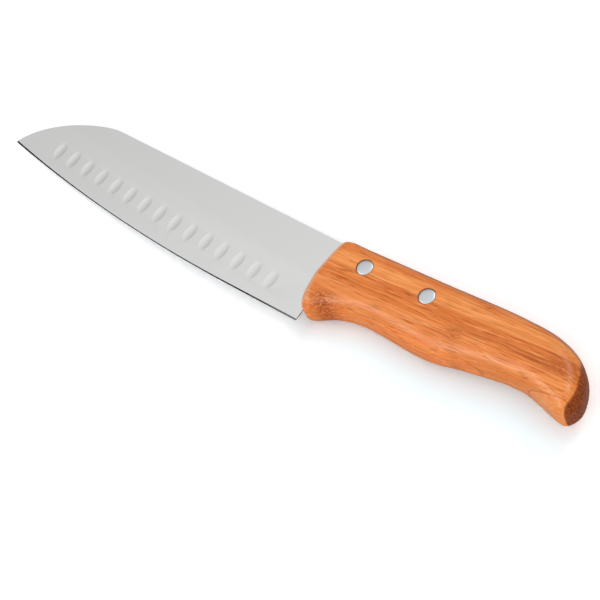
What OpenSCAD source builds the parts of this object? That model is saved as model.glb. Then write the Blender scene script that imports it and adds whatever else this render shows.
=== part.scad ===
// A broad slicing knife with a dimpled blade and a riveted, laminated bamboo handle.
// It lies on its left side. +X runs from the tip to the butt, +Y from the cutting edge
// to the spine, and +Z is up, through the blade's thickness. The origin is the middle of
// the knife's box, on the surface that the handle lies on.

/* [Blade] */
// Visible blade, from the tip to the front of the handle
blade_len = 181.5; // [150:0.5:220]
// Height of the blade at the heel, from the cutting edge to the spine
blade_h = 39.5; // [34:0.1:48]
// Thickness of the blade and the tang
blade_t = 1.8; // [1.4:0.1:2.6]
// How far the heel reaches back past the front of the handle
heel_reach = 2.5; // [1:0.1:4]
// Length of the straight stretch of cutting edge, forward from the handle
straight_edge = 37; // [20:1:70]
// How high the tip stands above the straight cutting edge
tip_lift = 12.6; // [8:0.1:18]
// Length of the stretch where the spine curves down to the tip
drop_len = 46; // [40:0.1:70]
// How much higher the spine stands where that curve starts than at the handle
spine_rise = 0.7; // [0:0.1:2]

/* [Ground edge] */
// Height of the ground zone above the cutting edge
grind_h = 22; // [16:0.5:22]
// Thickness where the ground zone meets the sharpening bevel
grind_edge_t = 0.5; // [0.4:0.05:0.9]
// Height of the sharpening bevel
bevel_h = 0.5; // [0.4:0.1:1.5]
// Thickness of the cutting edge itself
edge_t = 0.1; // [0.05:0.05:0.2]

/* [Dimples] */
// Dimples ground into the upper side
dimple_count = 15; // [5:1:17]
// Distance between two dimples
dimple_pitch = 9.8; // [8:0.1:12]
// Length of a dimple, across the blade
dimple_len = 9.8; // [7:0.1:11]
// Width of a dimple, along the blade
dimple_w = 5.3; // [3:0.1:6]
// Depth of a dimple
dimple_depth = 0.24; // [0.2:0.02:0.36]
// Distance from the handle to the middle of the nearest dimple
dimple_start = 19.4; // [15:0.1:25]
// Height of the nearest dimple's middle above the straight cutting edge
dimple_height = 10.5; // [9:0.1:12]
// How much higher the farthest dimple stands than the nearest
dimple_row_rise = 7.7; // [5:0.1:9]
// How far the middle of the row sags below a straight line
dimple_row_sag = 0.75; // [0:0.05:1.5]

/* [Handle] */
// Length of the handle
handle_len = 129.5; // [115:0.5:150]
// How far the top of the handle's back stands above the blade's spine
back_rise = 5.1; // [3:0.1:8]
// Thickness of the handle
handle_t = 19; // [17:0.5:24]
// Radius of the rounding along the handle's long edges
side_round = 8; // [5:0.5:8.5]
// Gap between the straight cutting edge's line and the handle's lip
lip_gap = 4.6; // [3:0.1:6]

/* [Bamboo strips] */
// Angle of the grain to the blade's spine
grain_angle = 3.6; // [0:0.1:5]
// Height of the first glue line at the handle's front, as a share of the handle's height
first_glue_share = 0.73; // [0.69:0.005:0.745]
// Height of the second glue line there
second_glue_share = 0.575; // [0.53:0.005:0.61]
// Height of the third glue line there
third_glue_share = 0.375; // [0.34:0.005:0.41]
// Height of the fourth glue line there
fourth_glue_share = 0.175; // [0.15:0.005:0.185]

/* [Tang and rivets] */
// Length of the tang inside the handle
tang_len = 64; // [60:0.5:80]
// Height of the tang's lower edge above the third glue line, at the handle's front
tang_gap = 3.1; // [2.4:0.1:3.6]
// Diameter of a rivet's head
rivet_head_d = 7.1; // [6:0.1:8]
// Thickness of a rivet's head
rivet_head_t = 1.8; // [1.2:0.1:2.5]
// Outer diameter of a rivet's tube half
rivet_tube_d = 5; // [4.4:0.1:5.6]
// Diameter of a rivet's pin half
rivet_pin_d = 3.2; // [2.5:0.1:3.8]
// Distance from the handle's front to the front rivet
rivet_start = 19.3; // [14:0.1:22]
// Distance from the tang's rear end to the rear rivet
rear_rivet_inset = 13.2; // [10:0.1:18]
// Drop from the first glue line, at the handle's front, to the front rivet's middle
rivet_drop = 2.8; // [2.5:0.1:3.5]
// How much higher the rear rivet stands than the front one
rivet_rise = 0.9; // [0:0.1:2]

/* [Hidden] */

// Overrun of cuts, as a length and as an angle
over = 1;
over_angle = 1;

// Clearances on each side of the tang, the rivets and the rivets' pins
slot_fit = 0.05;
rivet_fit = 0.04;
pin_fit = 0.02;

// Narrow chamfer around a rivet's head
head_chamfer = 0.3;

// How far the rounded form stands proud before the handle's two sides are planed flat
planed_off = 0.02;

// Spacing of the handle's outline points, the stretch on each side of a point over which the
// rounding's direction is averaged, and the levels in a quarter of the rounding
outline_step = 2;
round_window = 10;
round_levels = 5;

round_facets = 96;
arc_facets = 720;
drop_steps = 24;
edge_steps = 40;

steel = "#cfcfce";
rivet_steel = "#c9ccce";
dark_bamboo = "#db7f45";
light_bamboo = "#e9914f";

// Outline of the handle as seen from above, clockwise from the front edge: share of its
// length, share of its height, and share of the full rounding along its long edges
handle_shares = [
    [0.002, 0.484, 0.50], [0.019, 0.828, 0.45], [0.039, 0.868, 0.45], [0.115, 0.906, 0.81],
    [0.402, 0.959, 1.00], [0.692, 1.000, 1.00], [0.824, 0.974, 1.00], [0.916, 0.865, 1.00],
    [0.975, 0.677, 1.00], [1.000, 0.429, 0.94], [0.980, 0.290, 0.85], [0.962, 0.256, 0.88],
    [0.794, 0.358, 1.00], [0.598, 0.271, 1.00], [0.475, 0.186, 1.00], [0.211, 0.194, 1.00],
    [0.126, 0.134, 0.95], [0.034, 0.000, 0.88], [0.014, 0.070, 0.83], [0.011, 0.125, 0.65],
    [0.000, 0.388, 0.53]];

// Curve of the spine down to the tip: the two middle handles of a cubic curve, as shares
// of the drop's length and of its height
drop_shares = [[0.24, 0], [0.85, 0.39]];

// Stretch of the handle that holds its waist, as shares of the handle's length
waist_shares = [0.6, 0.96];

// Centripetal curve through a closed row of points
function flat(p) = [p.x, p.y];
function knot(a, b, t) = t + sqrt(norm(flat(b) - flat(a)));
function blend(a, b, ta, tb, t) = ((tb - t) * a + (t - ta) * b) / (tb - ta);
function on_curve(a, b, c, d, f) =
    let (t1 = knot(a, b, 0), t2 = knot(b, c, t1), t3 = knot(c, d, t2), t = t1 + (t2 - t1) * f)
    let (ab = blend(a, b, 0, t1, t), bc = blend(b, c, t1, t2, t), cd = blend(c, d, t2, t3, t))
    blend(blend(ab, bc, 0, t2, t), blend(bc, cd, t1, t3, t), t1, t2, t);
function curve_run(a, b, c, d) =
    let (n = max(1, round(norm(flat(c) - flat(b)) / outline_step)))
    [for (k = [0 : n - 1]) on_curve(a, b, c, d, k / n)];
function closed_curve(p) = let (n = len(p))
    [for (i = [0 : n - 1]) each curve_run(p[(i + n - 1) % n], p[i], p[(i + 1) % n], p[(i + 2) % n])];

// The handle's outline in real sizes, with the rounding's radius as third value. Its height
// runs from the lip behind the heel to the top of its back
handle_h = blade_h + back_rise - lip_gap;
handle_points = [for (s = handle_shares)
    [s.x * handle_len, lip_gap + s.y * handle_h, s.z * side_round]];
outline = closed_curve(handle_points);
outline_count = len(outline);
half_t = handle_t / 2;

// Outward directions, averaged over a window so that the rounding turns corners without
// folding over itself
function outward(i) =
    let (d = flat(outline[(i + 1) % outline_count]) - flat(outline[(i + outline_count - 1) % outline_count]))
    [-d.y, d.x] / norm(d);
window = round(round_window / outline_step);
normals = [for (i = [0 : outline_count - 1]) outward(i)];
function mean_normal(i) =
    let (s = [for (k = [-window : window]) 1] *
             [for (k = [-window : window]) normals[(i + k + outline_count) % outline_count]])
    s / norm(s);
mean_normals = [for (i = [0 : outline_count - 1]) mean_normal(i)];

// One level of the handle: a is 0 at the widest line and 90 at the flat side
function level(side, a) = [for (i = [0 : outline_count - 1])
    let (r = outline[i].z, p = flat(outline[i]) - mean_normals[i] * r * (1 - cos(a)))
    [p.x, p.y, side * (half_t - r + (r + planed_off) * sin(a))]];
level_angles = [for (k = [0 : round_levels]) 90 * k / round_levels];
levels = concat([for (k = [round_levels : -1 : 0]) level(-1, level_angles[k])],
                [for (k = [0 : round_levels]) level(1, level_angles[k])]);

// Where the knife stands: the middle of its box over the origin
outline_xs = [for (p = outline) p.x];
outline_ys = [for (p = outline) p.y];
shift_x = (blade_len - max(outline_xs)) / 2;
shift_y = -max(outline_ys) / 2;

// Cutting edge: straight, then one arc that touches it and ends at the tip
curved_run = blade_len - straight_edge;
edge_r = (curved_run * curved_run + tip_lift * tip_lift) / (2 * tip_lift);
tip_angle = atan2(curved_run, edge_r - tip_lift);

// The ground zone is one flat plane on each side. Its base line runs along the chord from
// the heel to the tip, lowered by half of the edge's depth below that chord
chord_angle = atan2(tip_lift, blade_len + heel_reach);
chord_depth = (straight_edge + edge_r * sin(chord_angle) + heel_reach) * sin(chord_angle)
    - edge_r * (1 - cos(chord_angle)) * cos(chord_angle);
grind_angle = atan2((blade_t - grind_edge_t) / 2, grind_h);
function above_base(p) = (p.x - heel_reach) * sin(chord_angle) + p.y * cos(chord_angle) + chord_depth / 2;
function half_thickness(p) = grind_edge_t / 2 + above_base(p) * tan(grind_angle);

// Spine and tang
spine_end = [-blade_len + drop_len, blade_h + spine_rise];
drop_h = spine_end.y - tip_lift;
tang_low = glue_at(third_glue_share) + tang_gap;
tang_lead = 3 * heel_reach;
tang_corner = 3 * blade_t;
tang_back = [for (p = outline) if (p.y > blade_h && p.x > tang_lead && p.x < tang_len - tang_corner)
    [p.x, p.y - slot_fit]];

// The waist, where the outline's lower side stands highest across the grain. The lowest
// strip is sawn away there
function across_grain(p) = p.y - p.x * tan(grain_angle);
waist_points = [for (p = outline)
    if (p.y < lip_gap + handle_h / 2
        && p.x > waist_shares[0] * handle_len && p.x < waist_shares[1] * handle_len) p];
waist_top = max([for (p = waist_points) across_grain(p)]);
waist_x = [for (p = waist_points) if (across_grain(p) == waist_top) p.x][0];

// Wheel that grinds a dimple: its radius across the blade and its rim's radius along it
wheel_r = dimple_len * dimple_len / (8 * dimple_depth) + dimple_depth / 2;
rim_r = dimple_w * dimple_w / (8 * dimple_depth) + dimple_depth / 2;
row_len = dimple_pitch * (dimple_count - 1);

// Glue lines, counted from the back: their heights at the handle's front
function glue_at(share) = lip_gap + share * handle_h;
glue_1 = glue_at(first_glue_share);
glue_2 = glue_at(second_glue_share);
glue_3 = glue_at(third_glue_share);
glue_4 = glue_at(fourth_glue_share);

// Places and bores of the rivets
front_rivet = [rivet_start, glue_1 - rivet_drop];
rear_rivet = [tang_len - rear_rivet_inset, front_rivet.y + rivet_rise];
rivet_bore_d = rivet_tube_d + 2 * rivet_fit;
rivet_seat_d = rivet_head_d + 2 * rivet_fit;
pin_bore_d = rivet_pin_d + 2 * pin_fit;
shank_len = handle_t - 2 * rivet_head_t;

module place() {
    translate([shift_x, shift_y, half_t]) children();
}

module both_sides() {
    children();
    mirror([0, 0, 1]) children();
}

// What the flat grinding takes from one side of the blade
module flat_grind() {
    translate([heel_reach, 0, 0])
        rotate([0, 0, -chord_angle])
            translate([0, -chord_depth / 2, grind_edge_t / 2])
                rotate([grind_angle, 0, 0])
                    translate([-2 * blade_len, -blade_h, 0])
                        cube([3 * blade_len, 3 * blade_h, blade_h]);
}

// Height above the edge and half thickness: what the sharpening takes from one side
module bevel_section() {
    polygon([[2 * bevel_h, grind_edge_t - edge_t / 2], [0, edge_t / 2], [-over, edge_t / 2],
             [-over, blade_t], [2 * bevel_h, blade_t]]);
}

module straight_bevel() {
    translate([-straight_edge, 0, 0])
        rotate([90, 0, 90])
            linear_extrude(straight_edge + heel_reach + over) bevel_section();
}

module curved_bevel() {
    translate([-straight_edge, edge_r, 0])
        rotate([0, 0, 270 - tip_angle - over_angle])
            rotate_extrude(angle = tip_angle + over_angle, $fn = arc_facets)
                translate([edge_r, 0]) mirror([1, 0]) bevel_section();
}

// A dimple's middle: i counts from the handle and may be a half
function dimple_at(i) = let (s = i * dimple_pitch / row_len)
    [-dimple_start - i * dimple_pitch,
     dimple_height + dimple_row_rise * s - 4 * dimple_row_sag * s * (1 - s)];

// One dimple, ground by the rim of a rounded wheel
module dimple(i) {
    p = dimple_at(i);
    translate([p.x, p.y, half_thickness(p)])
        rotate([grind_angle, 0, 0])
            translate([0, 0, wheel_r - dimple_depth])
                rotate([0, 90, 0])
                    rotate_extrude($fn = round_facets)
                        translate([wheel_r - rim_r, 0]) circle(rim_r, $fn = round_facets);
}

function drop_point(t) = let (u = 1 - t, a = drop_shares[0], b = drop_shares[1])
    [spine_end.x - drop_len * (3 * u * u * t * a.x + 3 * u * t * t * b.x + t * t * t),
     spine_end.y - drop_h * (3 * u * u * t * a.y + 3 * u * t * t * b.y + t * t * t)];
function edge_point(a) = [-straight_edge - edge_r * sin(a), edge_r * (1 - cos(a))];

// The blade and its half tang. The tang fills the slot up to the handle's back, and its
// two rear corners are cut
module blade_outline() {
    last = len(tang_back) - 1;
    polygon(concat(
        [[heel_reach, 0], [heel_reach, tang_low], [tang_len - tang_corner, tang_low],
         [tang_len, tang_low + tang_corner], [tang_len, tang_back[last].y - tang_corner]],
        [for (k = [last : -1 : 0]) tang_back[k]],
        [[tang_lead, blade_h], [0, blade_h]],
        [for (k = [0 : drop_steps]) drop_point(k / drop_steps)],
        [for (k = [edge_steps - 1 : -1 : 1]) edge_point(tip_angle * k / edge_steps)],
        [[-straight_edge, 0]]));
}

module blade() {
    color(steel) place() difference() {
        linear_extrude(blade_t, center = true) blade_outline();
        both_sides() flat_grind();
        both_sides() straight_bevel();
        both_sides() curved_bevel();
        for (i = [0 : dimple_count - 1]) dimple(i);
        // The lower side's dimples stand between those of the upper side
        mirror([0, 0, 1]) for (i = [0 : dimple_count - 2]) dimple(i + 0.5);
        for (r = [front_rivet, rear_rivet])
            translate([r.x, r.y, 0])
                cylinder(d = rivet_bore_d, h = 2 * blade_t, center = true, $fn = round_facets);
    }
}

// The whole handle as one rounded form, before its boards are cut from it
module handle_form() {
    rings = len(levels);
    n = outline_count;
    polyhedron(
        points = [for (ring = levels) each ring],
        faces = concat(
            [[for (i = [n - 1 : -1 : 0]) i]],
            [[for (i = [0 : n - 1]) (rings - 1) * n + i]],
            [for (j = [0 : rings - 2]) for (i = [0 : n - 1])
                let (a = j * n + i, b = j * n + (i + 1) % n) each [[a, b, a + n], [b, b + n, a + n]]]));
}

// Slot for the tang and the heel, open towards the spine and the front
module slot() {
    heel_end = heel_reach + slot_fit;
    tang_end = tang_len + slot_fit;
    floor_y = tang_low - slot_fit;
    linear_extrude(blade_t + 2 * slot_fit, center = true)
        polygon([[-over, -over], [heel_end, -over], [heel_end, floor_y], [tang_end, floor_y],
                 [tang_end, 2 * blade_h], [-over, 2 * blade_h]]);
}

// Hole for a rivet: a bore right through, and a seat for a head in each side
module rivet_hole(at) {
    translate([at.x, at.y, 0]) {
        cylinder(d = rivet_bore_d, h = handle_t + 2 * over, center = true, $fn = round_facets);
        both_sides() translate([0, 0, half_t - rivet_head_t])
            cylinder(d = rivet_seat_d, h = rivet_head_t + over, $fn = round_facets);
    }
}

// A planed board between two glue lines, from low to high across the grain
module board(low, high) {
    rotate([0, 0, grain_angle])
        translate([-handle_len, low * cos(grain_angle), -half_t])
            cube([3 * handle_len, (high - low) * cos(grain_angle), handle_t]);
}

// One bamboo strip of the handle, with its part of the slot and the rivet holes
module strip(low, high) {
    difference() {
        intersection() {
            board(low, high);
            handle_form();
        }
        slot();
        rivet_hole(front_rivet);
        rivet_hole(rear_rivet);
    }
}

module spine_strip() {
    color(dark_bamboo) place() strip(glue_1, blade_h + handle_h);
}

module upper_strip() {
    color(light_bamboo) place() strip(glue_2, glue_1);
}

module middle_strip() {
    color(dark_bamboo) place() strip(glue_3, glue_2);
}

module lower_strip() {
    color(light_bamboo) place() strip(glue_4, glue_3);
}

// The lowest strip is sawn away at the waist, which leaves one piece at the belly and
// one at the hook of the butt
module lowest_strip(from, to) {
    intersection() {
        strip(glue_4 - handle_h, glue_4);
        translate([from, -handle_h, -handle_t]) cube([to - from, 3 * handle_h, 2 * handle_t]);
    }
}

module belly_strip() {
    color(dark_bamboo) place() lowest_strip(-handle_len, waist_x);
}

module hook_strip() {
    color(light_bamboo) place() lowest_strip(waist_x, 2 * handle_len);
}

// Head of a rivet with its outer face on the handle's side, and a narrow chamfer
module rivet_head() {
    face_d = rivet_head_d - 2 * head_chamfer;
    translate([0, 0, half_t - rivet_head_t])
        cylinder(d = rivet_head_d, h = rivet_head_t - head_chamfer, $fn = round_facets);
    translate([0, 0, half_t - head_chamfer])
        cylinder(d1 = rivet_head_d, d2 = face_d, h = head_chamfer, $fn = round_facets);
}

// The tube half goes in from below, and the pin half is pressed into it from above
module rivet_tube(at) {
    translate([at.x, at.y, 0]) {
        mirror([0, 0, 1]) rivet_head();
        difference() {
            cylinder(d = rivet_tube_d, h = shank_len, center = true, $fn = round_facets);
            cylinder(d = pin_bore_d, h = shank_len + over, center = true, $fn = round_facets);
        }
    }
}

module rivet_pin(at) {
    translate([at.x, at.y, 0]) {
        rivet_head();
        cylinder(d = rivet_pin_d, h = shank_len, center = true, $fn = round_facets);
    }
}

module front_rivet_tube() {
    color(rivet_steel) place() rivet_tube(front_rivet);
}

module front_rivet_pin() {
    color(rivet_steel) place() rivet_pin(front_rivet);
}

module rear_rivet_tube() {
    color(rivet_steel) place() rivet_tube(rear_rivet);
}

module rear_rivet_pin() {
    color(rivet_steel) place() rivet_pin(rear_rivet);
}

blade();
spine_strip();
upper_strip();
middle_strip();
lower_strip();
belly_strip();
hook_strip();
front_rivet_tube();
front_rivet_pin();
rear_rivet_tube();
rear_rivet_pin();
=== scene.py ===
# %% [markdown]
# # A slicing knife with a dimpled blade and a bamboo handle
# This lesson dresses a knife whose construction is already settled in CAD. The frame gives
# every piece its place and size, and each step here remodels one piece finely enough to be
# looked at closely, gives it a finish, and says why it was made that way.

# %% Load the frame
import math

import bmesh
import bpy
from mathutils import Matrix, Vector


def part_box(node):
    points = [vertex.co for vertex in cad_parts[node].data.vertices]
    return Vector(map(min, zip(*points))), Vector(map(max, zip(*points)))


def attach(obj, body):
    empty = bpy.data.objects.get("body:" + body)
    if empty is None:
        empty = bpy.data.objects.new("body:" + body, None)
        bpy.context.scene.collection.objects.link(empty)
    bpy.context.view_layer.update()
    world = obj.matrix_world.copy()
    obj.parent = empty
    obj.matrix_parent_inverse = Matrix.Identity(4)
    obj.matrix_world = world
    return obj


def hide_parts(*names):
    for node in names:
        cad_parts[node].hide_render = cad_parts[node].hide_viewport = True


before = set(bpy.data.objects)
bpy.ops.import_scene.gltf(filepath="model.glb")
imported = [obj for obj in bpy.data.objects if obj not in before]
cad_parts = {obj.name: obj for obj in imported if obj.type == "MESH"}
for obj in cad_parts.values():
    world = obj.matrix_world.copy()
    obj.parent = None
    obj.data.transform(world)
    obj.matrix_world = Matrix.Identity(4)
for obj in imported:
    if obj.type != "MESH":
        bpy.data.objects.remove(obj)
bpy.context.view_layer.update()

print("pieces in the frame:", sorted(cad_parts))

# %% [markdown]
# ## Sizes
# A drawing of a knife is dimensioned from the line where the steel enters the handle. So the
# sizes below are real millimetres in a local frame: x from the handle's front towards the
# butt, y from the straight cutting edge up to the spine, z from the middle of the steel.
# One function then moves a local point to its place in the frame, which the CAD box gives.

# %% Driving sizes of the blade
mm = 0.001

blade_len = 181.5 * mm
blade_h = 39.5 * mm
blade_t = 1.8 * mm
heel_reach = 2.5 * mm
straight_edge = 37 * mm
tip_lift = 12.6 * mm
drop_len = 46 * mm
spine_rise = 0.7 * mm
grind_h = 22 * mm
grind_edge_t = 0.5 * mm
bevel_h = 0.5 * mm
edge_t = 0.1 * mm

# %% Driving sizes of the dimples
dimple_count = 15
dimple_pitch = 9.8 * mm
dimple_len = 9.8 * mm
dimple_w = 5.3 * mm
dimple_depth = 0.17 * mm
dimple_start = 19.4 * mm
dimple_height = 10.5 * mm
dimple_row_rise = 7.7 * mm
dimple_row_sag = 0.75 * mm

# %% Driving sizes of the handle
handle_len = 129.5 * mm
back_rise = 5.1 * mm
handle_t = 19 * mm
side_round = 8 * mm
lip_gap = 4.6 * mm
handle_h = blade_h + back_rise - lip_gap
half_t = handle_t / 2

grain_angle = math.radians(3.6)
glue_shares = (0.73, 0.575, 0.375, 0.175)
glue_lines = [lip_gap + share * handle_h for share in glue_shares]

# %% Driving sizes of the tang and the rivets
tang_len = 64 * mm
tang_low = glue_lines[2] + 3.1 * mm
tang_lead = 3 * heel_reach
tang_corner = 3 * blade_t
slot_fit = 0.05 * mm
rivet_head_d = 7.1 * mm
rivet_head_t = 1.8 * mm
rivet_tube_d = 5 * mm
rivet_pin_d = 3.2 * mm
rivet_fit = 0.04 * mm
pin_fit = 0.02 * mm
front_rivet = (19.3 * mm, glue_lines[0] - 2.8 * mm)
rear_rivet = (tang_len - 13.2 * mm, front_rivet[1] + 0.9 * mm)

# %% From the local frame to the CAD frame
tip_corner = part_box("blade")[0]
shift = Vector((tip_corner.x + blade_len, tip_corner.y, half_t))


def placed(x, y, z=0.0):
    """A point of the local frame, in the CAD frame."""
    return Vector((x, y, z)) + shift


print("the handle's front is at x = %.2f mm, the straight edge at y = %.2f mm"
      % (shift.x / mm, shift.y / mm))

# %% [markdown]
# ## Working by hand in code
# Operators act on whatever is selected, and the imported frame arrives selected. So each
# step starts from nothing selected, and vertices, edges and faces are picked by a test on
# their place or their normal, as an eye and a mouse would pick them.


# %% Selecting
def start_clean():
    """Leaves edit mode and selects nothing."""
    if bpy.context.object and bpy.context.object.mode != "OBJECT":
        bpy.ops.object.mode_set(mode="OBJECT")
    bpy.ops.object.select_all(action="DESELECT")


def activate(piece):
    start_clean()
    piece.select_set(True)
    bpy.context.view_layer.objects.active = piece


def edit(piece, select="SELECT"):
    """Opens one piece in edit mode with everything, or nothing, selected."""
    activate(piece)
    bpy.ops.object.mode_set(mode="EDIT")
    bpy.ops.mesh.select_all(action=select)


def choose(piece, kind, test):
    """Selects the verts, edges or faces of the edited piece for which the test holds."""
    bpy.ops.mesh.select_mode(type={"verts": "VERT", "edges": "EDGE", "faces": "FACE"}[kind])
    bpy.ops.mesh.select_all(action="DESELECT")
    mesh = bmesh.from_edit_mesh(piece.data)
    for item in getattr(mesh, kind):
        item.select_set(test(item))
    mesh.select_flush_mode()
    bmesh.update_edit_mesh(piece.data)


def named(name):
    """Names the piece that was just added."""
    piece = bpy.context.object
    piece.name = name
    piece.data.name = name
    return piece


def finish_mesh(piece, smooth_angle):
    """Merges doubles, turns the faces outwards and smooths all edges flatter than an angle."""
    edit(piece)
    bpy.ops.mesh.remove_doubles(threshold=merge_gap)
    bpy.ops.mesh.select_all(action="SELECT")
    bpy.ops.mesh.normals_make_consistent(inside=False)
    bpy.ops.object.mode_set(mode="OBJECT")
    bpy.ops.object.transform_apply(location=True, rotation=True, scale=True)
    bpy.ops.object.shade_smooth_by_angle(angle=smooth_angle)


merge_gap = 0.0005 * mm

# %% [markdown]
# ## Tracing, cutting and joining
# The knife's flat pieces start as a single point that is extruded along an outline, as one
# traces a drawing, and the closed line is filled and extruded through its thickness. What
# is sawn or ground flat is cut with bisect, which also closes the cut. What is drilled or
# hollowed is a Boolean with a tool of the cutter's shape.


# %% Trace an outline and give it thickness
def trace(name, outline, low, high):
    """A plate with a closed outline, from one height to another, in the local frame."""
    start_clean()
    bpy.ops.mesh.primitive_plane_add(size=mm, location=placed(outline[0][0], outline[0][1], low))
    plate = named(name)
    bpy.ops.object.transform_apply(location=True, rotation=True, scale=True)
    bpy.ops.object.mode_set(mode="EDIT")
    bpy.ops.mesh.select_mode(type="VERT")
    bpy.ops.mesh.select_all(action="SELECT")
    bpy.ops.mesh.merge(type="CENTER")
    for here, there in zip(outline, outline[1:]):
        step = (there[0] - here[0], there[1] - here[1], 0)
        bpy.ops.mesh.extrude_region_move(TRANSFORM_OT_translate={"value": step})
    ends = [placed(p[0], p[1], low) for p in (outline[0], outline[-1])]
    choose(plate, "verts", lambda v: min((v.co - e).length for e in ends) < merge_gap)
    bpy.ops.mesh.edge_face_add()
    bpy.ops.mesh.select_all(action="SELECT")
    bpy.ops.mesh.edge_face_add()
    bpy.ops.mesh.extrude_region_move(TRANSFORM_OT_translate={"value": (0, 0, high - low)})
    bpy.ops.mesh.select_all(action="SELECT")
    bpy.ops.mesh.normals_make_consistent(inside=False)
    bpy.ops.object.mode_set(mode="OBJECT")
    return plate


# %% Cut with a plane, and cut with a tool
def plane_off(piece, point, normal):
    """Cuts away what lies on the normal's side of a plane and closes the cut."""
    edit(piece)
    bpy.ops.mesh.bisect(plane_co=point, plane_no=normal, use_fill=True, clear_outer=True,
                        threshold=merge_gap)
    bpy.ops.object.mode_set(mode="OBJECT")


def carve(piece, tool, keep_tool=False):
    """Takes the tool's shape out of the piece."""
    activate(piece)
    cut = piece.modifiers.new("carve", "BOOLEAN")
    cut.operation = "DIFFERENCE"
    cut.solver = "EXACT"
    cut.object = tool
    bpy.ops.object.modifier_apply(modifier=cut.name)
    if not keep_tool:
        bpy.data.objects.remove(tool)


def copied(piece, name):
    """A copy with its own mesh."""
    twin = piece.copy()
    twin.data = piece.data.copy()
    twin.name = name
    twin.data.name = name
    bpy.context.scene.collection.objects.link(twin)
    return twin


def joined(pieces):
    activate(pieces[0])
    for piece in pieces:
        piece.select_set(True)
    bpy.ops.object.join()
    return pieces[0]


# %% [markdown]
# ## The handle's outline
# A handle like this is routed to a template and then rounded by hand, so its outline is one
# easy closed curve. Few points are the best way to get that: each stands where the curve
# turns, and a centripetal curve runs through them without loops. The third value of a point
# says how round the long edges are there: least at the front, where the handle meets steel.

# %% Outline points of the handle
handle_shares = [
    (0.002, 0.484, 0.50), (0.019, 0.828, 0.45), (0.039, 0.868, 0.45), (0.115, 0.906, 0.81),
    (0.402, 0.959, 1.00), (0.692, 1.000, 1.00), (0.824, 0.974, 1.00), (0.916, 0.865, 1.00),
    (0.975, 0.677, 1.00), (1.000, 0.429, 0.94), (0.980, 0.290, 0.85), (0.962, 0.256, 0.88),
    (0.794, 0.358, 1.00), (0.598, 0.271, 1.00), (0.475, 0.186, 1.00), (0.211, 0.194, 1.00),
    (0.126, 0.134, 0.95), (0.034, 0.000, 0.88), (0.014, 0.070, 0.83), (0.011, 0.125, 0.65),
    (0.000, 0.388, 0.53)]
outline_step = 1 * mm
round_window = 10 * mm
round_levels = 14


def on_curve(a, b, c, d, share):
    """A point between b and c on the centripetal curve through four points."""
    knots = [0.0]
    for p, q in ((a, b), (b, c), (c, d)):
        knots.append(knots[-1] + math.sqrt((q - p).xy.length))
    t0, t1, t2, t3 = knots
    t = t1 + (t2 - t1) * share

    def blend(p, q, tp, tq):
        return ((tq - t) * p + (t - tp) * q) / (tq - tp)

    ab, bc, cd = blend(a, b, t0, t1), blend(b, c, t1, t2), blend(c, d, t2, t3)
    return blend(blend(ab, bc, t0, t2), blend(bc, cd, t1, t3), t1, t2)


corners = [Vector((x * handle_len, lip_gap + y * handle_h, r * side_round))
           for x, y, r in handle_shares]
outline = []
for i, corner in enumerate(corners):
    before, after, beyond = (corners[(i + k) % len(corners)] for k in (-1, 1, 2))
    steps = max(1, round((after - corner).xy.length / outline_step))
    outline += [on_curve(before, corner, after, beyond, k / steps) for k in range(steps)]
print("points on the handle's outline:", len(outline))

# %% [markdown]
# Hand rounding follows the whole hand's width of wood, not each point of the edge. So the
# direction in which the form draws in is averaged over a stretch on both sides of a point,
# which also keeps the rounding from folding over itself at the tight hook and lip.

# %% Directions in which the long edges round over
count = len(outline)
window = round(round_window / outline_step)
outward = []
for i in range(count):
    along = (outline[(i + 1) % count] - outline[i - 1]).xy
    outward.append(Vector((-along.y, along.x)).normalized())
mean_outward = []
for i in range(count):
    around = [outward[(i + k) % count] for k in range(-window, window + 1)]
    mean_outward.append(sum(around, Vector((0, 0))).normalized())


def ring(side, angle):
    """The outline at one height: angle 0 is the widest line and 90 degrees the flat side."""
    points = []
    for p, out in zip(outline, mean_outward):
        drawn_in = p.xy - out * p.z * (1 - math.cos(angle))
        height = half_t - p.z + p.z * math.sin(angle)
        points.append(placed(drawn_in.x, drawn_in.y, side * height))
    return points


angles = [math.pi / 2 * k / round_levels for k in range(round_levels + 1)]
rings = [ring(-1, a) for a in reversed(angles)] + [ring(1, a) for a in angles]
print("the skin has", len(rings), "rings of", count, "points")

# %% [markdown]
# ## The whole handle
# A grid is the simplest sheet with rows and columns, so the handle's skin starts as a grid
# with a column for each outline point and a row for each height. The sheet is wrapped round
# the form, its seam is merged, and the two flat sides are filled.

# %% Wrap a grid into the handle's skin
start_clean()
bpy.ops.mesh.primitive_grid_add(x_subdivisions=count, y_subdivisions=len(rings) - 1,
                                size=handle_len)
handle_form = named("handle_form")
columns = count + 1
print("grid:", len(handle_form.data.vertices), "points, wanted", columns * len(rings))
for i, vertex in enumerate(handle_form.data.vertices):
    row, column = divmod(i, columns)
    vertex.co = rings[row][column % count]
edit(handle_form)
bpy.ops.mesh.remove_doubles(threshold=merge_gap)
for side in (-1, 1):
    flat_z = placed(0, 0, side * half_t).z
    choose(handle_form, "verts", lambda v: abs(v.co.z - flat_z) < merge_gap)
    bpy.ops.mesh.edge_face_add()
bpy.ops.mesh.select_all(action="SELECT")
bpy.ops.mesh.normals_make_consistent(inside=False)
bpy.ops.object.mode_set(mode="OBJECT")

# %% [markdown]
# ## Boards
# The real block is glued up from bamboo strips before it is shaped, so each strip's ends
# follow the handle's skin and its long sides are planed flat. The code does the same: one
# copy of the whole form for each strip, planed off at its two glue lines. The waist is sawn
# up past the lowest strip, where the outline's lower side stands highest across the grain.
# That leaves two pieces of the strip, one behind the lip and one at the hook.

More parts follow.
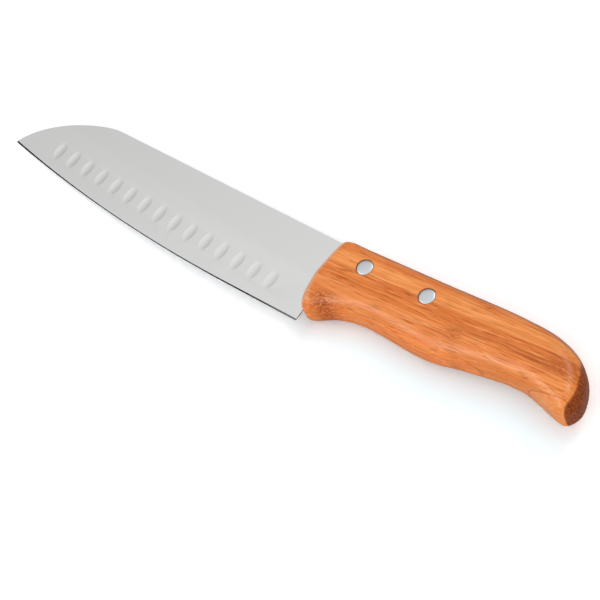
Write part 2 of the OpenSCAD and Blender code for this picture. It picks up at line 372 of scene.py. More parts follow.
# %% Plane the boards
along_grain = Vector((math.cos(grain_angle), math.sin(grain_angle), 0))
across_grain = Vector((-math.sin(grain_angle), math.cos(grain_angle), 0))


def board(name, low=None, high=None):
    """The handle's form between two glue lines, given by their heights at its front."""
    strip = copied(handle_form, name)
    if low is not None:
        plane_off(strip, placed(0, low), -across_grain)
    if high is not None:
        plane_off(strip, placed(0, high), across_grain)
    return strip


spine_board = board("spine_board", low=glue_lines[0])
upper_board = board("upper_board", low=glue_lines[1], high=glue_lines[0])
middle_board = board("middle_board", low=glue_lines[2], high=glue_lines[1])
lower_board = board("lower_board", low=glue_lines[3], high=glue_lines[2])
belly_board = board("belly_board", high=glue_lines[3])
hook_board = copied(belly_board, "hook_board")
waist_stretch = (0.6 * handle_len, 0.96 * handle_len)
waist = max((p for p in outline if p.y < lip_gap + handle_h / 2
             and waist_stretch[0] < p.x < waist_stretch[1]),
            key=lambda p: p.xy.dot(across_grain.xy))
plane_off(belly_board, placed(waist.x, 0), Vector((1, 0, 0)))
plane_off(hook_board, placed(waist.x, 0), Vector((-1, 0, 0)))
bpy.data.objects.remove(handle_form)
boards = [spine_board, upper_board, middle_board, lower_board, belly_board, hook_board]
print("the waist is %.1f mm behind the front" % (waist.x / mm))
print("faces of the boards:", {b.name: len(b.data.polygons) for b in boards})

# %% [markdown]
# ## Slot and rivet holes
# The block is slotted for the tang from its back, with a narrow slot at the front for the
# heel, and drilled and counterbored for the rivets. Traced and turned tools do both.


# %% Turn a profile round an upright axis
def turned(name, profile, centre, steps=72):
    """A round piece from (radius, height) points that start and end on its axis."""
    start_clean()
    low = profile[0][1]
    bpy.ops.mesh.primitive_plane_add(size=mm, location=placed(centre[0], centre[1], low))
    piece = named(name)
    bpy.ops.object.transform_apply(location=True, rotation=True, scale=True)
    bpy.ops.object.mode_set(mode="EDIT")
    bpy.ops.mesh.select_mode(type="VERT")
    bpy.ops.mesh.select_all(action="SELECT")
    bpy.ops.mesh.merge(type="CENTER")
    for here, there in zip(profile, profile[1:]):
        step = (there[0] - here[0], 0, there[1] - here[1])
        bpy.ops.mesh.extrude_region_move(TRANSFORM_OT_translate={"value": step})
    bpy.ops.mesh.select_all(action="SELECT")
    bpy.ops.mesh.spin(steps=steps, angle=math.tau, center=placed(*centre), axis=(0, 0, 1))
    bpy.ops.mesh.select_all(action="SELECT")
    bpy.ops.mesh.remove_doubles(threshold=merge_gap)
    bpy.ops.mesh.normals_make_consistent(inside=False)
    bpy.ops.object.mode_set(mode="OBJECT")
    return piece


# %% Saw the slot
overrun = 1 * mm
slot_outline = [(-overrun, -overrun), (heel_reach + slot_fit, -overrun),
                (heel_reach + slot_fit, tang_low - slot_fit),
                (tang_len + slot_fit, tang_low - slot_fit),
                (tang_len + slot_fit, 2 * blade_h), (-overrun, 2 * blade_h)]
slot_half = blade_t / 2 + slot_fit
saw = trace("saw", slot_outline, -slot_half, slot_half)
for strip in (spine_board, upper_board, middle_board, lower_board, belly_board):
    carve(strip, saw, keep_tool=True)
bpy.data.objects.remove(saw)

# %% Drill the rivet holes
head_low = half_t - rivet_head_t
bore_r = rivet_tube_d / 2 + rivet_fit
seat_r = rivet_head_d / 2 + rivet_fit
over_t = half_t + overrun
hole_profile = [(0, -over_t), (seat_r, -over_t), (seat_r, -head_low), (bore_r, -head_low),
                (bore_r, head_low), (seat_r, head_low), (seat_r, over_t), (0, over_t)]
for centre in (front_rivet, rear_rivet):
    drill = turned("drill", hole_profile, centre)
    for strip in (upper_board, middle_board):
        carve(strip, drill, keep_tool=True)
    bpy.data.objects.remove(drill)

# %% Smooth the boards' skin and keep their sawn edges sharp
board_crease = math.radians(30)
for strip in boards:
    finish_mesh(strip, board_crease)
print("faces of the finished boards:", sum(len(b.data.polygons) for b in boards))

# %% [markdown]
# ## Rivets
# A knife rivet is two parts pressed together: a tube with a head from below, and a pin with
# a head from above. The heads are flush with the wood and a little crowned from being
# sanded with it, with a broken rim that catches the light.

# %% Turn the rivets
head_r = rivet_head_d / 2
crown = [(head_r - 0.3 * mm, half_t - 0.12 * mm), (head_r - 0.12 * mm, half_t - 0.19 * mm),
         (head_r, half_t - 0.36 * mm)]
crown_middle = [(0, half_t), (1.2 * mm, half_t - 0.01 * mm), (2.4 * mm, half_t - 0.05 * mm)]
pin_r = rivet_pin_d / 2
tube_r = rivet_tube_d / 2
tube_bore_r = pin_r + pin_fit
pin_profile = crown_middle + crown + [(head_r, head_low), (pin_r, head_low),
                                      (pin_r, -head_low), (0, -head_low)]
tube_profile = [(r, -z) for r, z in crown_middle + crown]
tube_profile += [(head_r, -head_low), (tube_r, -head_low), (tube_r, head_low),
                 (tube_bore_r, head_low), (tube_bore_r, -head_low), (0, -head_low)]
rivets = {}
for place, centre in (("front", front_rivet), ("rear", rear_rivet)):
    rivets[place + "_rivet_tube"] = turned(place + "_tube_half", tube_profile, centre)
    rivets[place + "_rivet_pin"] = turned(place + "_pin_half", pin_profile, centre)
rivet_crease = math.radians(35)
for half in rivets.values():
    finish_mesh(half, rivet_crease)
print("rivet halves:", sorted(rivets))

# %% [markdown]
# ## Blade
# A blade starts as a plate cut to its outline, tang and all. Two flat grinds then thin it
# towards the edge, and the bevels are honed on last. The edge is straight near the handle
# and then one long arc up to the tip, and the spine drops to meet it in a soft curve.

# %% Outline of the blade and the tang
curved_run = blade_len - straight_edge
edge_r = (curved_run ** 2 + tip_lift ** 2) / (2 * tip_lift)
tip_angle = math.atan2(curved_run, edge_r - tip_lift)
spine_end = (-blade_len + drop_len, blade_h + spine_rise)
drop_h = spine_end[1] - tip_lift
drop_shares = ((0.24, 0), (0.85, 0.39))
drop_steps = 48
edge_steps = 40


def drop_point(t):
    """A point of the cubic curve from the spine down to the tip."""
    u = 1 - t
    a, b = drop_shares
    x = 3 * u * u * t * a[0] + 3 * u * t * t * b[0] + t ** 3
    y = 3 * u * u * t * a[1] + 3 * u * t * t * b[1] + t ** 3
    return spine_end[0] - drop_len * x, spine_end[1] - drop_h * y


def edge_point(angle):
    return -straight_edge - edge_r * math.sin(angle), edge_r * (1 - math.cos(angle))


tang_back = [(p.x, p.y - slot_fit) for p in outline
             if p.y > blade_h and tang_lead < p.x < tang_len - tang_corner]
blade_outline = [(heel_reach, 0), (heel_reach, tang_low), (tang_len - tang_corner, tang_low),
                 (tang_len, tang_low + tang_corner), (tang_len, tang_back[-1][1] - tang_corner)]
blade_outline += reversed(tang_back)
blade_outline += [(tang_lead, blade_h), (0, blade_h)]
blade_outline += [drop_point(k / drop_steps) for k in range(drop_steps + 1)]
blade_outline += [edge_point(tip_angle * k / edge_steps) for k in range(edge_steps - 1, 0, -1)]
blade_outline += [(-straight_edge, 0)]
knife_blade = trace("knife_blade", blade_outline, -blade_t / 2, blade_t / 2)
print("points on the blade's outline:", len(blade_outline))

# %% [markdown]
# Both grinds are single flat planes, as a surface grinder leaves them. Their base line runs
# along the chord from the heel to the tip, so the plane meets the curved edge evenly.

# %% Grind the two flats
chord_angle = math.atan2(tip_lift, blade_len + heel_reach)
chord_depth = ((straight_edge + edge_r * math.sin(chord_angle) + heel_reach)
               * math.sin(chord_angle)
               - edge_r * (1 - math.cos(chord_angle)) * math.cos(chord_angle))
grind_angle = math.atan2((blade_t - grind_edge_t) / 2, grind_h)


def above_base(x, y):
    return ((x - heel_reach) * math.sin(chord_angle) + y * math.cos(chord_angle)
            + chord_depth / 2)


def half_thickness(x, y):
    return grind_edge_t / 2 + above_base(x, y) * math.tan(grind_angle)


def grind(piece, planes):
    """Cuts the piece with many planes, each given by a point and an outward normal."""
    edit(piece)
    for point, normal in planes:
        bpy.ops.mesh.select_all(action="SELECT")
        bpy.ops.mesh.bisect(plane_co=point, plane_no=normal, use_fill=True,
                            clear_outer=True, threshold=merge_gap)
    bpy.ops.object.mode_set(mode="OBJECT")


base_point = (heel_reach, -chord_depth / 2 / math.cos(chord_angle))
flats = []
for side in (-1, 1):
    uphill = Vector((math.sin(chord_angle), math.cos(chord_angle), 0))
    flat_normal = Vector((0, 0, side * math.cos(grind_angle))) - uphill * math.sin(grind_angle)
    flats.append((placed(*base_point, side * grind_edge_t / 2), flat_normal))
grind(knife_blade, flats)
print("each flat leans by %.2f degrees" % math.degrees(grind_angle))

# %% Hone the two bevels
bevel_angle = math.atan2((grind_edge_t - edge_t) / 2, bevel_h)
facets = [((-straight_edge / 2, 0), 0.0)]
for k in range(edge_steps):
    middle_angle = tip_angle * (k + 0.5) / edge_steps
    facets.append((edge_point(tip_angle * k / edge_steps), middle_angle))
bevels = []
for point, angle in facets:
    inwards = Vector((math.sin(angle), math.cos(angle), 0))
    for side in (-1, 1):
        normal = Vector((0, 0, side * math.cos(bevel_angle))) - inwards * math.sin(bevel_angle)
        bevels.append((placed(*point, side * edge_t / 2), normal))
grind(knife_blade, bevels)
print("faces of the ground blade:", len(knife_blade.data.polygons))

# %% [markdown]
# Each dimple is ground by the rim of a rounded wheel, so its tool is the lowest patch of a
# torus as large as that wheel. One patch is modelled and copied along the row, which sags a
# little below a straight line, and the far side's row stands half a pitch on. The dimples
# are 0.17 mm deep here and 0.24 mm in CAD: the deeper ones mirrored more of the bright tent
# than the photo shows. Their places and outlines are the same.

# %% Shape the grinding wheel's patch
wheel_r = dimple_len ** 2 / (8 * dimple_depth) + dimple_depth / 2
rim_r = dimple_w ** 2 / (8 * dimple_depth) + dimple_depth / 2
start_clean()
bpy.ops.mesh.primitive_torus_add(major_radius=wheel_r - rim_r, minor_radius=rim_r,
                                 major_segments=288, minor_segments=144,
                                 rotation=(0, math.pi / 2, 0))
patch = named("wheel_patch")
bpy.ops.object.transform_apply(location=True, rotation=True, scale=True)
plane_off(patch, Vector((0, 0, 0.4 * mm + dimple_depth - wheel_r)), Vector((0, 0, 1)))
print("faces of the wheel's patch:", len(patch.data.polygons))


# %% Grind the dimples
def dimple_at(i):
    """The middle of a dimple, counted from the handle."""
    s = i / (dimple_count - 1)
    x = -dimple_start - i * dimple_pitch
    return x, dimple_height + dimple_row_rise * s - 4 * dimple_row_sag * s * (1 - s)


for side, first, number in ((1, 0, dimple_count), (-1, 0.5, dimple_count - 1)):
    row = []
    for k in range(number):
        x, y = dimple_at(k + first)
        tilt = grind_angle if side > 0 else math.pi - grind_angle
        contact = copied(patch, "contact")
        contact.matrix_world = (Matrix.Translation(placed(x, y, side * half_thickness(x, y)))
                                @ Matrix.Rotation(tilt, 4, "X")
                                @ Matrix.Translation((0, 0, wheel_r - dimple_depth)))
        row.append(contact)
    carve(knife_blade, joined(row))
bpy.data.objects.remove(patch)
print("faces of the dimpled blade:", len(knife_blade.data.polygons))

# %% Drill the tang
for centre in (front_rivet, rear_rivet):
    start_clean()
    bpy.ops.mesh.primitive_cylinder_add(vertices=72, radius=bore_r, depth=3 * blade_t,
                                        location=placed(*centre))
    carve(knife_blade, named("drill"))
print("faces of the drilled blade:", len(knife_blade.data.polygons))

# %% [markdown]
# A dimple's long sides meet the flat at about seven degrees, so a smoothing angle of five keeps
# them crisp. The flat meets the plate at less than two degrees, too little for that angle to
# catch, so the ground line is marked sharp.

# %% Smooth the dimples and keep the ground lines
blade_crease = math.radians(5)
finish_mesh(knife_blade, blade_crease)
edit(knife_blade, "DESELECT")


def on_ground_line(edge):
    ends = [v.co - shift for v in edge.verts]
    return all(abs(above_base(e.x, e.y) - grind_h) < 0.01 * mm for e in ends)


choose(knife_blade, "edges", on_ground_line)
bpy.ops.mesh.mark_sharp()
bpy.ops.object.mode_set(mode="OBJECT")

# %% [markdown]
# ## Materials
# Colours are written as they look on a screen, in sRGB, and one function turns them into
# the linear values that a shader works with. Another adds a shader node. A third lays
# colours over one another, so that each material reads as a list of what lies on what.


# %% Helpers for materials
def linear(code):
    """The linear colour of an sRGB code such as 'e2a060'."""
    channels = [int(code[i:i + 2], 16) / 255 for i in (0, 2, 4)]
    return [c / 12.92 if c <= 0.04045 else ((c + 0.055) / 1.055) ** 2.4 for c in channels] + [1]


def add_node(material, kind, inputs=None, **settings):
    """Adds a node with its settings; an input is a value or another node's output."""
    tree = material.node_tree
    node = tree.nodes.new(kind)
    for name, value in settings.items():
        setattr(node, name, value)
    for name, value in (inputs or {}).items():
        if isinstance(value, bpy.types.NodeSocket):
            tree.links.new(value, node.inputs[name])
        else:
            node.inputs[name].default_value = value
    return node


def layered(material, colour, layers):
    """Lays further colours over one, each as far as the product of its shares goes."""
    for over, *shares in layers:
        share = shares[0]
        for other in shares[1:]:
            share = add_node(material, "ShaderNodeMath", {0: share, 1: other},
                             operation="MULTIPLY").outputs["Value"]
        colour = add_node(material, "ShaderNodeMix", {0: share, 6: colour, 7: over},
                          data_type="RGBA").outputs[2]
    return colour


# %% Start, show and use a material
def new_material(name):
    """A material without nodes."""
    material = bpy.data.materials.new(name)
    material.use_nodes = True
    material.node_tree.nodes.clear()
    return material


def show(material, shader):
    add_node(material, "ShaderNodeOutputMaterial", {"Surface": shader})


def paint(piece, material):
    piece.data.materials.clear()
    piece.data.materials.append(material)


# %% [markdown]
# ## Bamboo
# The handle is carbonised bamboo, glued up, shaped, sanded and lacquered. To the eye that is a
# warm orange with fine straight lines, and a soft sheen over it. Every strip is cut along the
# same grain, so all strips share one set of coordinates: millimetres along the grain, across
# it and through the handle, counted from the handle's front. Each mark on the wood is a
# pattern in them, which gives a share between nothing and all. Single fibres are too fine to
# see, so what is drawn is their bundles, which stand a little less than a millimetre apart.


# %% Patterns along the grain
def on_grain(material):
    """Millimetres along the grain, across it and through the handle."""
    place = add_node(material, "ShaderNodeTexCoord")
    turn = Matrix.Rotation(-grain_angle, 3, "Z")
    return add_node(material, "ShaderNodeMapping",
                    {"Vector": place.outputs["Object"], "Scale": (1 / mm,) * 3,
                     "Rotation": (0, 0, -grain_angle),
                     "Location": turn @ (-shift / mm)}).outputs["Vector"]


def fibres(material, grain, along, across, levels, shares=(0.0, 1.0), detail=2, rough=0.5,
           waviness=0.0):
    """Noise of so many cycles to the millimetre along and across the grain. It gives the
    first share below its first level and the second share above its second level."""
    scaled = add_node(material, "ShaderNodeVectorMath",
                      {0: grain, 1: (along, across, across)}, operation="MULTIPLY")
    noise = add_node(material, "ShaderNodeTexNoise",
                     {"Vector": scaled.outputs["Vector"], "Scale": 1.0, "Detail": detail,
                      "Roughness": rough, "Distortion": waviness})
    return add_node(material, "ShaderNodeMapRange",
                    {"Value": noise.outputs["Fac"], "From Min": levels[0],
                     "From Max": levels[1], "To Min": shares[0], "To Max": shares[1]},
                    interpolation_type="SMOOTHSTEP").outputs["Result"]


def band(material, grain, axis, centre, half):
    """1 at one place along (X) or across (Y) the grain and 0 beyond half a width."""
    place = add_node(material, "ShaderNodeSeparateXYZ", {"Vector": grain})
    away = add_node(material, "ShaderNodeMath", {0: place.outputs[axis], 1: centre},
                    operation="SUBTRACT")
    away = add_node(material, "ShaderNodeMath", {0: away.outputs["Value"]},
                    operation="ABSOLUTE")
    return add_node(material, "ShaderNodeMapRange",
                    {"Value": away.outputs["Value"], "From Min": 0.0, "From Max": half,
                     "To Min": 1.0, "To Max": 0.0},
                    interpolation_type="SMOOTHSTEP").outputs["Result"]


# %% [markdown]
# Other marks follow the surface. At the butt and the lip the grain is cut across, which soaks up
# more lacquer and turns brown, with the bundles' ends as darker dots; the butt, which faces away
# from the light, is also painted darker as shade. The back is painted a duller brown as shade,
# the front that faces the blade is painted paler as a highlight, and each rivet sits in a thin
# dark ring, partly lacquer that gathered in the gap and partly painted shade of the gap.


# %% Patterns on the surface
ring_width = 0.5 * mm


def facing(material, direction, levels, most=1.0):
    """0 where the surface looks elsewhere and the most where it looks along a direction. The
    levels are the cosines between which it grows."""
    place = add_node(material, "ShaderNodeTexCoord")
    slope = add_node(material, "ShaderNodeVectorMath",
                     {0: place.outputs["Normal"], 1: direction}, operation="DOT_PRODUCT")
    return add_node(material, "ShaderNodeMapRange",
                    {"Value": slope.outputs["Value"], "From Min": levels[0],
                     "From Max": levels[1], "To Min": 0.0, "To Max": most},
                    interpolation_type="SMOOTHSTEP").outputs["Result"]


def round_rivet(material, centre):
    """A soft dark ring round a rivet's seat: partly dirt in the gap, partly painted shade of the
    gap.
    """
    place = add_node(material, "ShaderNodeTexCoord")
    flat_place = add_node(material, "ShaderNodeVectorMath",
                          {0: place.outputs["Object"], 1: (1, 1, 0)}, operation="MULTIPLY")
    middle = placed(*centre)
    away = add_node(material, "ShaderNodeVectorMath",
                    {0: flat_place.outputs["Vector"], 1: (middle.x, middle.y, 0)},
                    operation="DISTANCE")
    return add_node(material, "ShaderNodeMapRange",
                    {"Value": away.outputs["Value"], "From Min": seat_r,
                     "From Max": seat_r + ring_width, "To Min": 0.8, "To Max": 0.0},
                    interpolation_type="SMOOTHSTEP").outputs["Result"]


# %% Colours that all strips share
bundle_brown = linear("aa5010")
node_brown = linear("b45608")
fibre_pale = linear("fcb070")
glue_brown = linear("b45c20")
rim_dirt_and_shade = linear("6e4020")
painted_back_shade = linear("94604a")
lip_brown = linear("a44600")
butt_grain_and_shade = linear("a44c06")
butt_dots_and_shade = linear("702c00")
painted_front_highlight = linear("f2b48a")

# %% [markdown]
# A strip's colour is built up in the order in which it comes about: first the wood with its lines
# and the marks of the cane's nodes, then what gluing, riveting and sawing leave on it, and over
# that painted shade at the back, the butt and the rivets' rings and a painted highlight at the
# front.
# Long lines fade in and out along the handle and are strongest towards the butt. The lacquer
# is a thin clear coat, and the bundles stand about a hundredth of a millimetre proud of it.


# %% The wood as it grew
def grown(material, own, light, dark, bundles):
    """The wood's colour. The last argument is the greatest share of its dark dashes."""
    streaks = fibres(material, own, along=0.01, across=0.28, levels=(0.4, 0.6),
                     shares=(0.05, 0.65))
    fine = fibres(material, own, along=0.055, across=1.25, levels=(0.407, 0.593),
                  shares=(0.0, 0.75), rough=0.7)
    pale = fibres(material, own, along=0.08, across=1.0, levels=(0.55, 0.7), shares=(0.0, 0.5))
    dashes = fibres(material, own, along=0.1, across=1.5, levels=(0.56, 0.68),
                    shares=(0.0, bundles))
    return layered(material, linear(light), [(linear(dark), streaks), (linear(dark), fine),
                                             (fibre_pale, pale), (bundle_brown, dashes)])


# %% Lines and nodes in the wood
# Like all places on the grain, these two are in its millimetres.
fade_front = 50.0
fade_back = 105.0


def fading(material, grain, own):
    """What weakens a long line: patches along it, and the way from the butt to the front."""
    patches = fibres(material, own, along=0.03, across=0.05, levels=(0.35, 0.6),
                     shares=(0.1, 1.0), detail=1)
    place = add_node(material, "ShaderNodeSeparateXYZ", {"Vector": grain})
    to_butt = add_node(material, "ShaderNodeMapRange",
                       {"Value": place.outputs["X"], "From Min": fade_front,
                        "From Max": fade_back, "To Min": 0.45, "To Max": 1.0},
                       interpolation_type="SMOOTHSTEP")
    return patches, to_butt.outputs["Result"]


def lines_and_nodes(material, grain, own, fade, streak_lines, node_marks):
    """Layers for the dark lines along the grain and for the wavy marks of the cane's nodes."""
    lines = [(bundle_brown, band(material, grain, "Y", height, half), *fade)
             for height, half in streak_lines]
    marks = []
    for place, height, half, strength in node_marks:
        waves = fibres(material, own, along=0.3, across=0.7, levels=(0.42, 0.52),
                       shares=(0.2 * strength, strength), rough=0.6, waviness=2.0)
        marks.append((node_brown, waves, band(material, grain, "X", place, 1.3 * half),
                      band(material, grain, "Y", height, half)))
    return lines + marks


# %% What the workshop adds, with painted shade and a painted highlight
seam_half = 0.25
lip_along, lip_along_half = 12.5, 10.0
lip_up, lip_up_half = 9.5, 7.0


def worked(material, grain, own, fade):
    """Layers for the rivets' rings and the sawn butt, both partly painted shade, for the glue
    lines and the lip, and for the back's painted shade and the front's painted highlight.
    """
    # The rivets' rings: partly dirt gathered in the gap, partly painted shade of the gap.
    layers = [(rim_dirt_and_shade, round_rivet(material, centre)) for centre in (front_rivet, rear_rivet)]
    for line in glue_lines:
        seam = band(material, grain, "Y", line / mm * math.cos(grain_angle), seam_half)
        layers.append((glue_brown, seam, *fade))
    lip_dots = fibres(material, own, along=0.8, across=1.3, levels=(0.4, 0.6),
                      shares=(0.4, 1.1), detail=3)
    butt_dots = fibres(material, own, along=0.8, across=1.3, levels=(0.35, 0.65), detail=3)
    layers += [(lip_brown, lip_dots, band(material, grain, "X", lip_along, lip_along_half),
                band(material, grain, "Y", lip_up, lip_up_half)),
               # The butt's end grain is brown with darker dots, and it is also painted darker as
               # shade where it faces away from the light.
               (layered(material, butt_grain_and_shade, [(butt_dots_and_shade, butt_dots)]),
                facing(material, along_grain, (0.54, 0.66))),
               # Painted shade: the back, turned away from the light, is made a duller brown.
               (painted_back_shade, facing(material, across_grain, (0.6, 0.85), 0.7)),
               # Painted highlight: the front that faces the blade is made paler where the light
               # falls on it.
               (painted_front_highlight, facing(material, -along_grain, (0.15, 0.55), 0.7))]
    return layers


# %% Bamboo of one strip
def bamboo(name, light, dark, offset, bundles, streak_lines=(), node_marks=()):
    """Lacquered bamboo from its light and dark colours, a shift of its grain and how much
    its dashes show. Lines are (height, half width) and nodes' marks (place along, height,
    half size, strength), in millimetres along and across the grain."""
    material = new_material(name)
    grain = on_grain(material)
    own = add_node(material, "ShaderNodeVectorMath", {0: grain, 1: offset},
                   operation="ADD").outputs["Vector"]
    fade = fading(material, grain, own)
    colour = layered(material, grown(material, own, light, dark, bundles),
                     lines_and_nodes(material, grain, own, fade, streak_lines, node_marks)
                     + worked(material, grain, own, fade))
    relief = fibres(material, own, along=0.055, across=1.25, levels=(0.36, 0.64), rough=0.7)
    bump = add_node(material, "ShaderNodeBump",
                    {"Strength": 0.12, "Distance": 0.1 * mm, "Height": relief})
    shader = add_node(material, "ShaderNodeBsdfPrincipled",
                      {"Base Color": colour, "Roughness": 0.5, "Specular IOR Level": 0.1,
                       "Coat Weight": 0.5, "Coat Roughness": 0.25,
                       "Normal": bump.outputs["Normal"]})
    show(material, shader.outputs["BSDF"])
    print(name, "has", len(material.node_tree.nodes), "nodes")
    return material


# %% Paint the strips
paint(spine_board, bamboo("spine_bamboo", "f69248", "da742c", (0, 0, 0), 0.6,
                          node_marks=[(79, 34.8, 3, 0.8)]))
paint(upper_board, bamboo("upper_bamboo", "f89e56", "e4843c", (310, 40, 7), 0.4))
paint(middle_board, bamboo("middle_bamboo", "f49246", "d46c22", (170, 80, 3), 0.8,
                           streak_lines=[(21.6, 0.9), (23.2, 0.7), (26.8, 0.5)],
                           node_marks=[(72, 18.5, 5, 0.9), (118, 23, 9, 0.9)]))
paint(lower_board, bamboo("lower_bamboo", "f69a52", "e47e38", (520, 20, 9), 0.6,
                          node_marks=[(72, 18, 5, 0.7)]))
# The belly and hook strips get the palest colours: partly their own tone, partly painted light on
# the belly's side, which the lamps light less than the top.
paint(belly_board, bamboo("belly_bamboo", "ff9e56", "f08038", (730, 60, 5), 0.5,
                          node_marks=[(76, 10, 3.5, 0.4)]))
paint(hook_board, bamboo("hook_bamboo", "ff9e56", "ec8a40", (910, 10, 2), 0.4))

# %% [markdown]
# ## Steel
# The blade has a fine satin finish. Its polishing marks run from the spine to the edge and are
# too small to see, but they spread what it mirrors. The rivets' heads were sanded every way, so
# theirs have no direction. The honed bevel is only half a millimetre high, and it is painted a
# darker colour than bare steel has, a painted dark reflection that shows as the thin dark line
# that the eye sees along an edge. Over its last stretch to the heel that painted line gets
# lighter.


# %% Satin steel
heel_fade = 26 * mm


def satin(name, colour, roughness, marks, heel_colour=None):
    """Polished metal with marks of so many cycles to the millimetre along x, y and z. Its
    colour can turn to another one towards the heel."""
    material = new_material(name)
    place = add_node(material, "ShaderNodeTexCoord")
    scaled = add_node(material, "ShaderNodeMapping",
                      {"Vector": place.outputs["Object"], "Scale": [m / mm for m in marks]})
    noise = add_node(material, "ShaderNodeTexNoise",
                     {"Vector": scaled.outputs["Vector"], "Scale": 1.0, "Detail": 4})
    spread = add_node(material, "ShaderNodeMapRange",
                      {"Value": noise.outputs["Fac"], "To Min": roughness - 0.04,
                       "To Max": roughness + 0.04})
    bump = add_node(material, "ShaderNodeBump",
                    {"Strength": 0.05, "Distance": 0.02 * mm, "Height": noise.outputs["Fac"]})
    base = linear(colour)
    if heel_colour:
        spot = add_node(material, "ShaderNodeSeparateXYZ", {"Vector": place.outputs["Object"]})
        at_heel = add_node(material, "ShaderNodeMapRange",
                           {"Value": spot.outputs["X"], "From Min": placed(-heel_fade, 0).x,
                            "From Max": placed(0, 0).x})
        base = layered(material, base, [(linear(heel_colour), at_heel.outputs["Result"])])
    shader = add_node(material, "ShaderNodeBsdfPrincipled",
                      {"Base Color": base, "Metallic": 1.0,
                       "Roughness": spread.outputs["Result"],
                       "Normal": bump.outputs["Normal"]})
    show(material, shader.outputs["BSDF"])
    return material


blade_steel = satin("blade_steel", "eaeae9", 0.36, (5, 0.2, 0.2))
# The honed bevel's steel is painted dark: a painted dark reflection along the edge, paler towards
# the heel.
honed_painted_dark = satin("honed_painted_dark", "101010", 0.4, (4, 0.5, 0.5), heel_colour="888888")
rivet_steel = satin("rivet_steel", "ced2d4", 0.35, (3, 3, 3))
paint(knife_blade, blade_steel)
knife_blade.data.materials.append(honed_painted_dark)
for half in rivets.values():
    paint(half, rivet_steel)
print("steels:", blade_steel.name, honed_painted_dark.name, rivet_steel.name)


# %% The honed bevel takes the coarser steel, painted dark
def on_bevel(face):
    middle = face.calc_center_median() - shift
    below = half_thickness(middle.x, middle.y) < grind_edge_t / 2 + 0.2 * mm
    steep = abs(face.normal.z) < math.cos(bevel_angle / 2)
    return below and steep and abs(middle.z) < grind_edge_t / 2 and face.normal.y < 0


edit(knife_blade, "DESELECT")
choose(knife_blade, "faces", on_bevel)
knife_blade.active_material_index = 1
bpy.ops.object.material_slot_assign()
honed = sum(f.select for f in bmesh.from_edit_mesh(knife_blade.data).faces)
bpy.ops.object.mode_set(mode="OBJECT")
print("honed faces:", honed)

# %% [markdown]
# ## Fitting the pieces to the frame
# Each piece stands for the CAD node that it was modelled after, and rides on the knife's
# only body, since a fixed-blade knife has no joints.

# %% Fit
fitted = {"blade": knife_blade, "spine_strip": spine_board, "upper_strip": upper_board,
          "middle_strip": middle_board, "lower_strip": lower_board,
          "belly_strip": belly_board, "hook_strip": hook_board, **rivets}
for node_name, piece in fitted.items():
    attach(piece, "root")
    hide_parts(node_name)
print("triangles:", {p.name: sum(len(f.vertices) - 2 for f in p.data.polygons)
                     for p in fitted.values()})

# %% [markdown]
# ## Studio
# Laid down, a knife with its weight in the blade tips until its point touches the table. The
# frame keeps the knife level, so it is the floor that leans, by 2.8 degrees, and it is moved
# up until it touches the handle.

# %% Floor
floor_lean = math.radians(2.79)
contact = Vector((min(v.co.x + v.co.z / math.tan(floor_lean)
                       for strip in boards for v in strip.data.vertices), 0, 0))
print("the floor meets the handle %.1f mm behind its front" % ((contact.x - shift.x) / mm))
start_clean()
bpy.ops.mesh.primitive_plane_add(size=6, location=contact, rotation=(0, floor_lean, 0))
floor = named("floor")
floor_white = new_material("floor_white")

# %% [markdown]
# The camera sees a colour a little brighter than white, which clips to the white of the page
# and still keeps the shadow. A mirror sees a darker one, because a real table ends soon and
# the darker room beyond it shows. Wood throws a warm light onto the floor below it, stronger
# in this picture than in the photo, so the white there is a slightly cool one, in a patch
# that reaches further along the knife than across it.

# %% White of the floor
floor_grey = (0.82, 0.82, 0.82, 1)
mirrored_grey = (0.4, 0.4, 0.4, 1)
paper_white = (1.27, 1.29, 1.3, 1)
cool_white = (1.09, 1.32, 1.41, 1)
place = add_node(floor_white, "ShaderNodeTexCoord")
squeezed = add_node(floor_white, "ShaderNodeVectorMath",
                    {0: place.outputs["Object"], 1: (0.6, 1, 1)}, operation="MULTIPLY")
away = add_node(floor_white, "ShaderNodeVectorMath",
                {0: squeezed.outputs["Vector"], 1: (0.3 * handle_len, -0.5 * handle_h, 0)},
                operation="DISTANCE")
cool = add_node(floor_white, "ShaderNodeMapRange",
                {"Value": away.outputs["Value"], "From Min": 22 * mm, "From Max": 50 * mm,
                 "To Min": 1.0, "To Max": 0.0}, interpolation_type="SMOOTHSTEP")
ray = add_node(floor_white, "ShaderNodeLightPath")
seen = layered(floor_white, paper_white, [(cool_white, cool.outputs["Result"])])
shown = layered(floor_white, floor_grey, [(mirrored_grey, ray.outputs["Is Glossy Ray"]),
                                          (seen, ray.outputs["Is Camera Ray"])])
paper = add_node(floor_white, "ShaderNodeBsdfDiffuse", {"Color": shown})
show(floor_white, paper.outputs["BSDF"])
paint(floor, floor_white)
print("nodes of the floor:", len(floor_white.node_tree.nodes))

# %% [markdown]
# A white tent is brighter high up than at its sides, and that gradient is what the steel
# mirrors. So the world's brightness grows with height, and falls a little again at the very
# top, or a view from straight above would show a blade as white as the floor. A stop's place
# is the sine of its angle above the horizon.

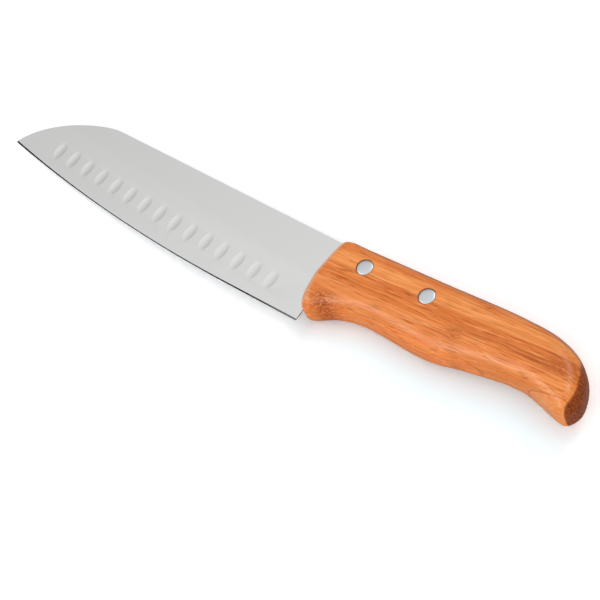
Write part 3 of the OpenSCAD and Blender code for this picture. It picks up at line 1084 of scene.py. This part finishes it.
# %% World
tent = [(0.0, 0.35), (0.5, 0.42), (0.67, 0.54), (0.74, 0.77), (0.806, 0.93), (0.875, 1.14),
        (1.0, 0.8)]
world = bpy.data.worlds.new("tent")
world.use_nodes = True
world.node_tree.nodes.clear()
bpy.context.scene.world = world
place = add_node(world, "ShaderNodeTexCoord")
split = add_node(world, "ShaderNodeSeparateXYZ", {"Vector": place.outputs["Generated"]})
steps = add_node(world, "ShaderNodeValToRGB", {"Fac": split.outputs["Z"]})
stops = steps.color_ramp.elements
while len(stops) < len(tent):
    stops.new(0.5)
for stop, (height, level) in zip(stops, tent):
    stop.position = height
    stop.color = (level, level, level, 1)
light = add_node(world, "ShaderNodeBackground", {"Color": steps.outputs["Color"]})
add_node(world, "ShaderNodeOutputWorld", {"Surface": light.outputs["Background"]})
print("stops of the tent:", len(stops))

# %% [markdown]
# Three softboxes light the handle and the floor. A photographer would hold cards between them
# and the blade, which is a mirror and would turn white. Light linking does that here: the
# lamps light everything but the blade, and the blade blocks none of their light. The long
# softbox gives only highlights, and its diffuse light is switched off.


# %% Lamps
def softbox(name, direction, distance, size, radiance):
    """A rectangular lamp that looks at the handle from one direction."""
    aim = placed(0.4 * handle_len, 0.5 * blade_h)
    direction = Vector(direction).normalized()
    start_clean()
    bpy.ops.object.light_add(type="AREA", location=aim + direction * distance,
                             rotation=direction.to_track_quat("Z", "Y").to_euler())
    lamp = bpy.context.object
    lamp.name = name
    lamp.data.shape = "RECTANGLE"
    lamp.data.size, lamp.data.size_y = size
    lamp.data.energy = radiance * math.pi * size[0] * size[1]
    lamp.light_linking.receiver_collection = off_the_blade
    lamp.light_linking.blocker_collection = off_the_blade
    print("%s: %.1f W" % (name, lamp.data.energy))
    return lamp


off_the_blade = bpy.data.collections.new("off_the_blade")
for piece in [floor] + [p for p in fitted.values() if p != knife_blade]:
    off_the_blade.objects.link(piece)
highlight_softbox = softbox("highlight_softbox", direction=(-0.46, -0.6, 0.67), distance=1.0,
                            size=(1.35, 0.4), radiance=3.8)
highlight_softbox.visible_diffuse = False
softbox("belly_softbox", direction=(0.3, -0.85, 0.5), distance=1.0, size=(1.2, 0.6), radiance=1.6)
softbox("top_softbox", direction=(0.05, 0.7, 0.7), distance=1.2, size=(0.55, 0.55), radiance=3.5)

# %% [markdown]
# ## Camera
# The photograph was taken with a long lens from above the knife's edge side, and the camera
# was rolled so that the blade runs up to the left.

# %% Camera
view_point = Vector((0.4211, -0.2207, 0.6079))
aim_point = Vector((0.0241, -0.0135, 0.0095))
camera_roll = math.radians(29.06)
focal_length = 108.31
film_width = 36
looking = (aim_point - view_point).to_track_quat("-Z", "Y").to_matrix()
looking = looking @ Matrix.Rotation(-camera_roll, 3, "Z")
start_clean()
bpy.ops.object.camera_add(location=view_point, rotation=looking.to_euler())
camera = bpy.context.object
camera.data.lens = focal_length
camera.data.sensor_width = film_width
bpy.context.scene.camera = camera
bpy.context.scene.view_settings.view_transform = "Standard"
print("camera's right and up:", looking.col[0], looking.col[1])
